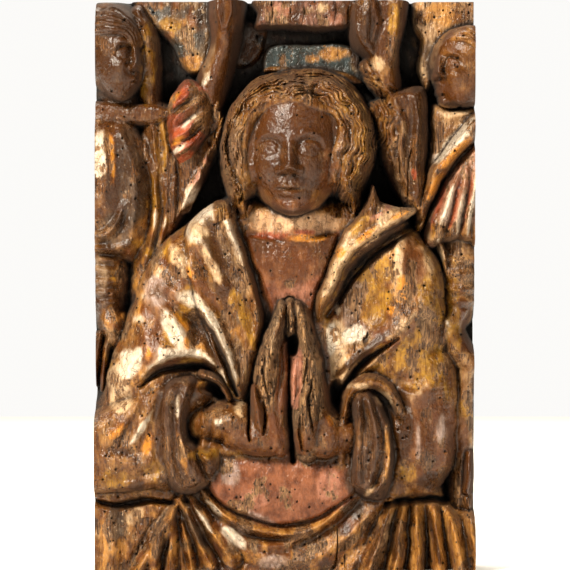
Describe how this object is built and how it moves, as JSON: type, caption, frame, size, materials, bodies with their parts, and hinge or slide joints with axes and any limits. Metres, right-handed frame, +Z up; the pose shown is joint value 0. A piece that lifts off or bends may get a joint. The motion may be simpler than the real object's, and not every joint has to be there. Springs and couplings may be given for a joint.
{
  "type": "carved wood relief",
  "caption": "Upright high-relief wood panel with a half-length praying figure in a mantle between attendant figures with raised arms, flat at the back for hanging.",
  "frame": {"origin": "centre of the flat back, which lies against the wall", "axes": "+X to the viewer's right, +Z up, the carved side faces -Y and +Y points into the wall"},
  "size_m": [0.38, 0.1348, 0.57],
  "materials": {
    "painted_wood": "glossy dark varnish over worn gilding, red and blue paint and gesso, with worm holes"
  },
  "bodies": {
    "root": {"carved_relief": "painted_wood"}
  },
  "joints": []
}
